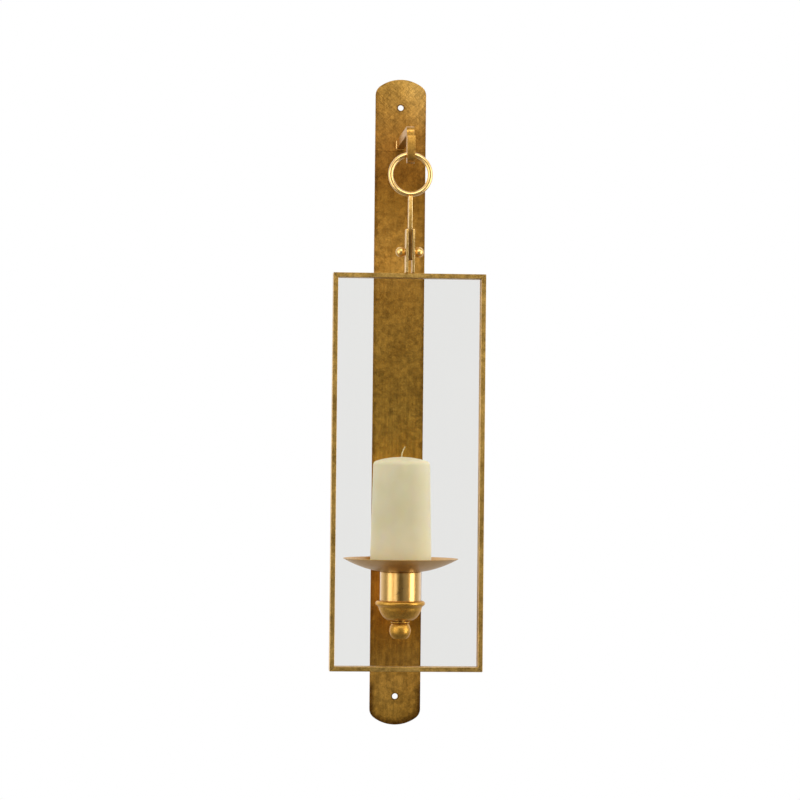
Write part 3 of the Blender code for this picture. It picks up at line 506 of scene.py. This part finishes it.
def candle_wax(name):
    """Ivory wax: light goes a little way in, with faint clouding and tiny dents."""
    material, nodes = new_material(name)
    place = nodes.position()
    clouds = nodes.noise(0.030, place, detail=3)
    pores = nodes.noise(0.0016, place, detail=3)
    dents = nodes.noise(0.010, place, detail=4)
    height = nodes.math("MULTIPLY_ADD", dents, 0.8, nodes.math("MULTIPLY", pores, 0.15))
    stops = [(0.32, (0.77, 0.70, 0.45)), (0.68, (0.83, 0.77, 0.54))]
    shader = nodes.add(
        "BsdfPrincipled",
        {
            "Base Color": nodes.ramp(clouds, stops),
            "Roughness": nodes.vary(pores, 0.44, 0.56),
            "Subsurface Weight": 0.55,
            "Subsurface Radius": (1.0, 0.62, 0.28),
            "Subsurface Scale": 0.009,
            "Specular IOR Level": 0.35,
            "Normal": nodes.bump(height, 0.25, 0.0005),
        },
    )
    close_material(nodes, shader)
    return material


def wick_cotton(name):
    """Waxed cotton strands, a little darker in their hollows."""
    material, nodes = new_material(name)
    fibres = nodes.noise(0.0005, nodes.position(stretch=(1, 1, 0.25)), detail=4)
    stops = [(0.3, (0.44, 0.33, 0.12)), (0.6, (0.80, 0.68, 0.36))]
    shader = nodes.add(
        "BsdfPrincipled",
        {
            "Base Color": nodes.ramp(fibres, stops),
            "Roughness": nodes.vary(fibres, 0.62, 0.85),
            "Sheen Weight": 0.25,
            "Normal": nodes.bump(fibres, 0.5, 0.0002),
        },
    )
    close_material(nodes, shader)
    return material


def make_materials():
    return {
        "strip": gold_leaf(
            "aged_leaf_strip", (0.72, 0.395, 0.066), (0.47, 0.225, 0.026),
            rough=(0.32, 0.44), coat=0.06, wear=0.30, extra=strip_marks_and_shade,
        ),
        "bar": gold_leaf(
            "aged_leaf_bar", (0.54, 0.29, 0.055), (0.28, 0.13, 0.018),
            rough=(0.34, 0.46), coat=0.08, wear=0.45, shift=0.37,
        ),
        "stem": gold_leaf(
            "aged_leaf_stem", (0.76, 0.47, 0.13), (0.48, 0.26, 0.045),
            rough=(0.32, 0.42), coat=0.30, wear=0.35, shift=0.53, extra=hinge_shade,
        ),
        "ear": gold_leaf(
            "aged_leaf_ear", (0.84, 0.55, 0.17), (0.46, 0.26, 0.05),
            rough=(0.32, 0.42), coat=0.30, wear=0.55, shift=0.61,
        ),
        "wire": gold_leaf(
            "burnished_leaf_wire", (0.80, 0.51, 0.15), (0.70, 0.42, 0.11),
            rough=(0.28, 0.34), coat=0.65, wear=0.04, relief=0.03, shift=0.71,
        ),
        "turning": gold_leaf(
            "burnished_leaf_turning", (0.84, 0.48, 0.08), (0.70, 0.38, 0.055),
            rough=(0.27, 0.33), coat=1.0, wear=0.14, relief=0.05, shift=1.13,
        ),
        "dull": gold_leaf(
            "dulled_leaf_turning", (0.90, 0.50, 0.085), (0.46, 0.22, 0.026),
            rough=(0.38, 0.50), coat=0.06, wear=0.65, relief=0.35, shift=1.29,
        ),
        "dish": gold_leaf(
            "dulled_leaf_dish", (0.68, 0.40, 0.10), (0.50, 0.27, 0.055),
            rough=(0.42, 0.52), coat=0.35, wear=0.30, shift=1.37,
        ),
        "frame": gold_leaf(
            "aged_leaf_frame", (0.74, 0.46, 0.12), (0.30, 0.16, 0.024),
            rough=(0.36, 0.48), coat=0.20, wear=0.60, shift=1.59,
        ),
        "edge": worn_edge("rubbed_leaf_edge", (0.90, 0.66, 0.30)),
        "steel": plain_steel("zinc_plated_steel"),
        "glass": clear_glass("clear_flat_glass"),
        "wax": candle_wax("ivory_wax"),
        "cotton": wick_cotton("waxed_cotton"),
    }


# ---------------------------------------------------------------- pieces


BODIES = frame["record"]["behaviour"]["bodies"]
BODY_OF = {node: body for body, members in BODIES.items() for node in members}


def place_piece(obj, node, materials):
    """Hangs a finished piece on its node's body, in place of the node."""
    if obj.name not in bpy.context.scene.collection.objects:
        bpy.context.scene.collection.objects.link(obj)
    obj.data.materials.clear()
    for material in materials:
        obj.data.materials.append(material)
    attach(obj, BODY_OF[node])
    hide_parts(node)
    return obj


def welded(node):
    """A bmesh copy of a node with its split vertices joined."""
    work = bmesh.new()
    work.from_mesh(frame["nodes"][node].data)
    bmesh.ops.remove_doubles(work, verts=work.verts, dist=WELD)
    return work


def finish_mesh(work, name, angle=CRISP_ANGLE):
    """A smooth-shaded mesh, with edges sharper than the angle kept crisp."""
    bmesh.ops.recalc_face_normals(work, faces=work.faces)
    mesh = bpy.data.meshes.new(name)
    work.to_mesh(mesh)
    work.free()
    for attribute in ("custom_normal", "sharp_face", "sharp_edge"):
        if attribute in mesh.attributes:
            mesh.attributes.remove(mesh.attributes[attribute])
    mesh.shade_smooth()
    mesh.set_sharp_from_angle(angle=math.radians(angle))
    return mesh


def soft_copy(node, materials, bevel=0.0, angle=CRISP_ANGLE):
    """A node's own shape, with its edges rounded where bevel says, in the edge material."""
    work = welded(node)
    flat = math.radians(FLAT_ANGLE)
    bmesh.ops.dissolve_limit(work, angle_limit=flat, verts=work.verts, edges=work.edges)
    name = node + "_leafed"
    obj = bpy.data.objects.new(name, finish_mesh(work, name, angle))
    place_piece(obj, node, materials)
    if bevel:
        modifier = obj.modifiers.new("Worn edges", "BEVEL")
        modifier.width = bevel
        modifier.segments = 3
        modifier.limit_method = "ANGLE"
        modifier.angle_limit = math.radians(angle)
        modifier.use_clamp_overlap = True
        modifier.material = 1 if len(materials) > 1 else -1
    return obj


def read_profile(node):
    """A turned node's half section as (radius, height) points, if it is a loop, and its axis.

    The CAD turning starts on the +X side of its axis, so the section's corners lie there.
    """
    low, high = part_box(node)
    axis_y = (low.y + high.y) / 2
    work = welded(node)
    found = {v for v in work.verts if abs(v.co.y - axis_y) < WELD and v.co.x > -WELD}
    links = {v: [] for v in found}
    for edge in work.edges:
        one, other = edge.verts
        if one in found and other in found:
            links[one].append(other)
            links[other].append(one)
    ends = [v for v in found if len(links[v]) == 1]
    start = max(ends or found, key=lambda v: (v.co.z, v.co.x))
    chain = [start]
    while True:
        onward = [v for v in links[chain[-1]] if v not in chain]
        if not onward:
            break
        chain.append(max(onward, key=lambda v: v.co.x) if len(chain) == 1 else onward[0])
    points = [Vector((max(v.co.x, 0.0), v.co.z)) for v in chain]
    work.free()
    return points, not ends, Vector((0, axis_y, 0))


def turn_at(before, point, after):
    """How far the profile turns at a point, in degrees."""
    first, second = point - before, after - point
    if first.length < 1e-9 or second.length < 1e-9:
        return 0.0
    return math.degrees(abs(first.angle_signed(second)))


def past(points, near, far, turned):
    """The point beyond one end of a step, or the step's own mirror image past a corner."""
    one, other = points[near[0]], points[near[1]]
    beyond = points[far]
    ratio = (beyond - one).length / (other - one).length
    if turned[near[0]] < CORNER_ANGLE and STEP_RATIO[0] < ratio < STEP_RATIO[1]:
        return beyond
    return 2 * one - other


def rounder(points, closed):
    """Halves each stretch of an arc, on the curve through its neighbours."""
    count = len(points)
    turned = []
    for index, point in enumerate(points):
        if not closed and index in (0, count - 1):
            turned.append(180.0)
        else:
            turned.append(turn_at(points[index - 1], point, points[(index + 1) % count]))
    made = []
    for index in range(count if closed else count - 1):
        onward = (index + 1) % count
        before = past(points, (index, onward), index - 1, turned)
        after = past(points, (onward, index), (index + 2) % count, turned)
        one, other = points[index], points[onward]
        made += [one, (9 * (one + other) - before - after) / 16]
    if not closed:
        made.append(points[-1])
    return made


def eased(points, closed, ease):
    """Replaces each sharp corner by a small curve."""
    count = len(points)
    made = []
    for index, point in enumerate(points):
        is_end = not closed and index in (0, count - 1)
        before, after = points[index - 1], points[(index + 1) % count]
        if is_end or turn_at(before, point, after) < CORNER_ANGLE:
            made.append(point)
            continue
        longest = EASE_SHARE * min((point - before).length, (after - point).length)
        reach = min(ease, longest)
        start = point + (before - point).normalized() * reach
        end = point + (after - point).normalized() * reach
        for share in (0.0, 0.25, 0.5, 0.75, 1.0):
            one = start.lerp(point, share)
            made.append(one.lerp(point.lerp(end, share), share))
    return made


def turned_mesh(node, name, ease=EDGE_EASE, steps=FINE_STEPS):
    """The node turned again from its own section, with rounder arcs and eased edges."""
    points, closed, axis = read_profile(node)
    points = eased(rounder(rounder(points, closed), closed), closed, ease)
    work = bmesh.new()
    verts = [work.verts.new((point.x, axis.y, point.y)) for point in points]
    pairs = list(zip(verts, verts[1:]))
    if closed:
        pairs.append((verts[-1], verts[0]))
    edges = [work.edges.new(pair) for pair in pairs]
    bmesh.ops.spin(
        work, geom=verts + edges, cent=axis, axis=(0, 0, 1), dvec=(0, 0, 0),
        angle=math.tau, steps=steps, use_merge=True, use_duplicate=False,
    )
    bmesh.ops.remove_doubles(work, verts=work.verts, dist=WELD / 2)
    return finish_mesh(work, name, TURNED_CRISP_ANGLE)


def add_turned(node, materials):
    name = node + "_leafed"
    obj = bpy.data.objects.new(name, turned_mesh(node, name))
    return place_piece(obj, node, materials)


# Cup: clearance of its slot round the support arm, and how far behind its axis that starts
SLOT_GAP = 0.0003
SLOT_START = 0.015


def cut_arm_slot(cup):
    """Opens the cup's back for the support arm, as the CAD cup is."""
    low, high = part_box("support_arm")
    cup_low, cup_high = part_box("candle_cup")
    middle_y = (cup_low.y + cup_high.y) / 2
    width = high.x - low.x + 2 * SLOT_GAP
    size = Vector((width, high.y - middle_y, high.z - low.z + 2 * SLOT_GAP))
    centre = Vector((0, (high.y + middle_y) / 2 + SLOT_START, (low.z + high.z) / 2))
    work = bmesh.new()
    bmesh.ops.create_cube(work, size=1.0)
    bmesh.ops.scale(work, vec=size, verts=work.verts)
    bmesh.ops.translate(work, vec=centre, verts=work.verts)
    cutter = bpy.data.objects.new("slot_tool", finish_mesh(work, "slot_tool"))
    bpy.context.scene.collection.objects.link(cutter)
    modifier = cup.modifiers.new("Arm slot", "BOOLEAN")
    modifier.operation = "DIFFERENCE"
    modifier.object = cutter
    freeze(cup)
    bpy.data.objects.remove(cutter)


def freeze(obj):
    """Applies an object's modifiers to its mesh."""
    bpy.context.view_layer.update()
    evaluated = obj.evaluated_get(bpy.context.evaluated_depsgraph_get())
    mesh = bpy.data.meshes.new_from_object(evaluated)
    mesh.name = obj.name
    obj.modifiers.clear()
    obj.data = mesh


# Ring: steps round the ring and round its wire, how much thinner the wire may be, and how
# quickly that changes
RING_STEPS, WIRE_STEPS = 144, 28
WIRE_UNEVEN = 0.008
WIRE_WAVES = 2.5


def add_ring(materials):
    """The hanger ring, bent from round wire that is not quite even."""
    low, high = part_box("hanger_ring")
    centre = (low + high) / 2
    wire = (high.y - low.y) / 2
    mean = (high.x - low.x) / 2 - wire
    work = bmesh.new()
    rows = []
    for step in range(RING_STEPS):
        turn = math.tau * step / RING_STEPS
        outward = Vector((math.cos(turn), 0, math.sin(turn)))
        swell = 1 - WIRE_UNEVEN + WIRE_UNEVEN * noise.noise(outward * WIRE_WAVES)
        row = []
        for wire_step in range(WIRE_STEPS):
            angle = math.tau * wire_step / WIRE_STEPS
            offset = outward * math.cos(angle) + Vector((0, 1, 0)) * math.sin(angle)
            row.append(work.verts.new(centre + outward * mean + offset * wire * swell))
        rows.append(row)
    for step, row in enumerate(rows):
        onward = rows[(step + 1) % RING_STEPS]
        for index in range(WIRE_STEPS):
            after = (index + 1) % WIRE_STEPS
            work.faces.new((row[index], row[after], onward[after], onward[index]))
    obj = bpy.data.objects.new("hanger_ring_leafed", finish_mesh(work, "hanger_ring_leafed"))
    return place_piece(obj, "hanger_ring", materials)


# Candle: its steps and eased rim, the radius inside which it is left even for the spike and
# the wick, its unevenness as (waves per metre, height), and how far it shrinks to make room
CANDLE_STEPS = 160
CANDLE_EASE = 0.0008
CANDLE_EVEN = 0.006
CANDLE_WAVES = ((28, 0.00018), (9, 0.00022))
CANDLE_SHRINK = 0.0004


def add_candle(materials):
    """The pillar candle, very slightly uneven as cast wax is."""
    mesh = turned_mesh("candle", "candle_wax", ease=CANDLE_EASE, steps=CANDLE_STEPS)
    low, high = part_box("candle")
    axis_y = (low.y + high.y) / 2
    for vertex in mesh.vertices:
        across = Vector((vertex.co.x, vertex.co.y - axis_y, 0))
        if across.length < CANDLE_EVEN:
            continue
        swell = sum(noise.noise(vertex.co * waves) * rise for waves, rise in CANDLE_WAVES)
        vertex.co += across.normalized() * (swell - CANDLE_SHRINK)
    obj = bpy.data.objects.new("candle_wax", mesh)
    return place_piece(obj, "candle", materials)


# Wick: the radius of its strands, the turns they make, the steps along each, and at the
# frayed tip how far they spread, how much shorter each is, and how much thinner they get
STRAND = 0.00042
BRAID_TURNS = 4.5
BRAID_STEPS = 56
FRAY_SPREAD = 0.15
FRAY_STAGGER = 0.0004
FRAY_THINNING = 0.35


def add_wick(materials):
    """Three twisted cotton strands that lean as the CAD wick does, with a frayed tip."""
    low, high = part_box("wick")
    candle_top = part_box("candle")[1].z
    centre_y = (low.y + high.y) / 2
    core = (high.y - low.y) / 2 - STRAND
    lean = high.x - (high.y - low.y) / 2
    top = high.z - STRAND
    curve = bpy.data.curves.new("wick_braid", "CURVE")
    curve.dimensions = "3D"
    curve.bevel_depth = STRAND
    curve.bevel_resolution = 3
    curve.use_fill_caps = True
    for index in range(3):
        spline = curve.splines.new("POLY")
        spline.points.add(BRAID_STEPS)
        for step in range(BRAID_STEPS + 1):
            share = step / BRAID_STEPS
            height = low.z + (top - low.z) * share
            above = max(0.0, (height - candle_top) / (top - candle_top))
            turn = math.tau * (index / 3 + BRAID_TURNS * share)
            spread = core * (1 + FRAY_SPREAD * above**6)
            place = (
                lean * above**2 + spread * math.cos(turn),
                centre_y + core * math.sin(turn),
                height - FRAY_STAGGER * index * above**4,
            )
            spline.points[step].co = (*place, 1)
            spline.points[step].radius = 1 - FRAY_THINNING * above**8
    obj = bpy.data.objects.new("wick_braid", curve)
    return place_piece(obj, "wick", materials)


# Weld beads, in radii: the drops' spacing, sizes and scatter; and the voxels to a radius
DROP_SPACING = 0.7
DROP_SIZES = (0.75, 1.0)
DROP_SCATTER = 0.12
BEAD_DETAIL = 6


def add_weld(name, node, start, end, radius, materials, seed):
    """A low uneven bead of weld along a line: drops that have run into one another."""
    dice = random.Random(seed)
    start, end = Vector(start), Vector(end)
    length = (end - start).length
    drops = max(3, round(length / (radius * DROP_SPACING)))
    work = bmesh.new()
    for drop in range(drops):
        share = drop / (drops - 1)
        size = radius * dice.uniform(*DROP_SIZES)
        jitter = [dice.uniform(-DROP_SCATTER, DROP_SCATTER) * radius for _ in range(3)]
        place = Matrix.Translation(start.lerp(end, share) + Vector(jitter))
        bmesh.ops.create_icosphere(work, subdivisions=2, radius=size, matrix=place)
    obj = bpy.data.objects.new(name, finish_mesh(work, name))
    bpy.context.scene.collection.objects.link(obj)
    remesh = obj.modifiers.new("Run together", "REMESH")
    remesh.mode = "VOXEL"
    remesh.voxel_size = radius / BEAD_DETAIL
    remesh.use_smooth_shade = True
    relax = obj.modifiers.new("Relax", "SMOOTH")
    relax.factor = 0.5
    relax.iterations = 6
    freeze(obj)
    obj.data.materials.clear()
    obj.data.materials.append(materials[0])
    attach(obj, BODY_OF[node])
    return obj


# Welds: the radius of the beads, how far the hook's stand off the plate's face, and how
# near to that face the hook arm counts as its root
HOOK_BEAD, HOOK_LOW_BEAD = 0.0011, 0.0013
EAR_BEAD = 0.0008
RING_BEAD = 0.0011
BEAD_LIFT = 0.0002
ROOT_REACH = 0.004


def hook_root():
    """Lowest and highest point of the hook arm's root, where it meets the backplate."""
    face_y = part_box("backplate")[0].y - ROOT_REACH
    near = [v.co.z for v in frame["nodes"]["hook_arm"].data.vertices if v.co.y > face_y]
    return min(near), max(near)


def add_welds(materials):
    """Beads at the hook's root, on the ears' feet and at the ring's seat."""
    bar = [materials["bar"]]
    low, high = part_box("hook_arm")
    root_low, root_high = hook_root()
    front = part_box("backplate")[0].y - BEAD_LIFT
    # The left bead is in the paler, smoother wire leaf: a painted highlight
    for name, side, leaf in (
        ("hook_weld_left", -1, [materials["wire"]]),
        ("hook_weld_right", 1, bar),
    ):
        edge = side * (high.x + 0.0001)
        start = (edge, front, root_low + 0.0006)
        end = (edge, front, root_high - 0.0012)
        add_weld(name, "hook_arm", start, end, HOOK_BEAD, leaf, seed=3 + side)
    start = (low.x + 0.001, front, root_low - 0.0001)
    end = (high.x - 0.001, front, root_low - 0.0001)
    add_weld("hook_weld_below", "hook_arm", start, end, HOOK_LOW_BEAD, bar, seed=7)

    for node, side in (("clevis_ear_left", -1), ("clevis_ear_right", 1)):
        low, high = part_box(node)
        edge = high.x if side > 0 else low.x
        start = (edge, low.y + 0.002, low.z + 0.0001)
        end = (edge, high.y - 0.002, low.z + 0.0001)
        add_weld(node + "_weld", node, start, end, EAR_BEAD, bar, seed=11 + side)

    low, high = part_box("hanger_stem")
    seat_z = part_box("hanger_ring")[0].z + 0.0006
    for name, depth in (("ring_weld_front", low.y + 0.0042), ("ring_weld_back", high.y - 0.0042)):
        start = (low.x + 0.0002, depth, seat_z)
        end = (high.x - 0.0002, depth, seat_z)
        add_weld(name, "hanger_stem", start, end, RING_BEAD, bar, seed=17)


def add_pieces(materials):
    edge = materials["edge"]
    bar = [materials["bar"], edge]
    stem = [materials["stem"], edge]
    rail = [materials["frame"], edge]
    ear = [materials["ear"], edge]
    turning = [materials["turning"]]
    soft_copy("backplate", [materials["strip"], edge], bevel=0.0007)
    soft_copy("hook_arm", [materials["bar"]])
    soft_copy("support_arm", bar, bevel=0.0006)
    soft_copy("hanger_stem", stem, bevel=0.0005)
    for side in ("left", "right"):
        soft_copy("clevis_ear_" + side, ear, bevel=0.0004)
        soft_copy("frame_%s_stile" % side, rail)
    for end in ("top", "bottom"):
        soft_copy("frame_%s_rail" % end, rail)
    for side in ("top", "bottom", "left", "right"):
        soft_copy("glazing_bead_" + side, [materials["frame"]])
    for node in ("tie_rod", "rod_nut", "clevis_pin"):
        soft_copy(node, [materials["steel"]])
    soft_copy("glass_pane", [materials["glass"]])
    add_turned("drip_dish", [materials["dish"]])
    for node in ("cup_bowl", "finial_collar", "finial_ball"):
        add_turned(node, [materials["dull"]])
    add_turned("pricket", turning)
    cut_arm_slot(add_turned("candle_cup", turning))
    for side in ("left", "right"):
        soft_copy("pin_knob_" + side, [materials["ear"]], angle=TURNED_CRISP_ANGLE)
    add_ring([materials["wire"]])
    add_candle([materials["wax"]])
    add_wick([materials["cotton"]])
    add_welds(materials)


# ---------------------------------------------------------------- studio


def add_world():
    """White to the eye; for reflections, dim in front, bright behind and softly lit above."""
    world = bpy.data.worlds.new("studio")
    bpy.context.scene.world = world
    world.use_nodes = True
    nodes = Nodes(world.node_tree)
    direction = nodes.add("TexCoord").outputs["Generated"]
    axes = nodes.add("SeparateXYZ", {"Vector": direction})
    behind = nodes.span(axes.outputs["Y"], 0.0, 0.75, FRONT_LEVEL, BACK_LEVEL)
    above = nodes.span(axes.outputs["Z"], 0.06, 0.80, 0.0, ABOVE_EXTRA)
    below = nodes.span(axes.outputs["Z"], -0.50, -0.05, BELOW_SHARE, 1.0)
    level = nodes.math("MULTIPLY", nodes.math("ADD", behind, above), below)
    facing = nodes.add("VectorMath", {0: direction, 1: DARK_MIDDLE}, operation="DOT_PRODUCT")
    outer, inner = math.cos(DARK_OUTER), math.cos(DARK_INNER)
    dark = nodes.span(facing.outputs["Value"], outer, inner, 1.0, DARK_SHARE)
    level = nodes.math("MULTIPLY", level, dark)
    lit = nodes.add("Background", {"Color": WARM_WHITE, "Strength": level})
    white = nodes.add("Background", {"Color": WHITE, "Strength": 1.0})
    seen = nodes.add("LightPath").outputs["Is Camera Ray"]
    nodes.add("OutputWorld", {"Surface": nodes.mix_shaders(seen, lit, white).outputs[0]})


def add_area_light(name, place, aim, size, power):
    """A rectangular lamp that is not seen itself, as size (width, length)."""
    light = bpy.data.lights.new(name, "AREA")
    light.shape = "RECTANGLE"
    light.size, light.size_y = size
    light.energy = power
    lamp = bpy.data.objects.new(name, light)
    lamp.location = place
    lamp.rotation_euler = (aim - lamp.location).to_track_quat("-Z", "Y").to_euler()
    lamp.visible_camera = False
    bpy.context.scene.collection.objects.link(lamp)


def add_soft_box(name, spec):
    azimuth, height, distance, width, length, radiance = spec
    turn = math.radians(azimuth)
    place = Vector((math.sin(turn) * distance, -math.cos(turn) * distance, height))
    power = radiance * math.pi * width * length
    add_area_light(name, place, Vector((0, 0, height)), (width, length), power)


def add_floor():
    """A plain white floor below the sconce, left out of its reflections."""
    height = CAD_BOX[0].z - FLOOR_DROP
    work = bmesh.new()
    bmesh.ops.create_grid(work, x_segments=1, y_segments=1, size=FLOOR_SIZE / 2)
    bmesh.ops.translate(work, vec=(0, 0, height), verts=work.verts)
    floor = bpy.data.objects.new("floor", finish_mesh(work, "floor"))
    bpy.context.scene.collection.objects.link(floor)
    material, nodes = new_material("white_floor")
    shader = nodes.add(
        "BsdfPrincipled",
        {
            "Base Color": (0, 0, 0, 1),
            "Roughness": 1.0,
            "Specular IOR Level": 0.0,
            "Emission Color": WHITE,
            "Emission Strength": 1.0,
        },
    )
    close_material(nodes, shader)
    floor.data.materials.append(material)
    floor.visible_glossy = False
    floor.visible_diffuse = False


def add_camera():
    data = bpy.data.cameras.new("camera")
    data.lens = CAMERA_LENS
    data.sensor_width = CAMERA_SENSOR
    data.clip_start = 0.1
    data.clip_end = 50
    camera = bpy.data.objects.new("camera", data)
    bpy.context.scene.collection.objects.link(camera)
    look = (CAMERA_AIM - CAMERA_PLACE).to_track_quat("-Z", "Y").to_matrix().to_4x4()
    roll = Matrix.Rotation(CAMERA_ROLL, 4, "Z")
    camera.matrix_world = Matrix.Translation(CAMERA_PLACE) @ look @ roll
    bpy.context.scene.camera = camera


bpy.context.scene.view_settings.view_transform = "Standard"
add_camera()
add_world()
add_soft_box("left_box", LEFT_BOX)
add_soft_box("right_box", RIGHT_BOX)
add_area_light("top_light", TOP_PLACE, TOP_AIM, TOP_SIZE, TOP_POWER)
add_floor()
add_pieces(make_materials())
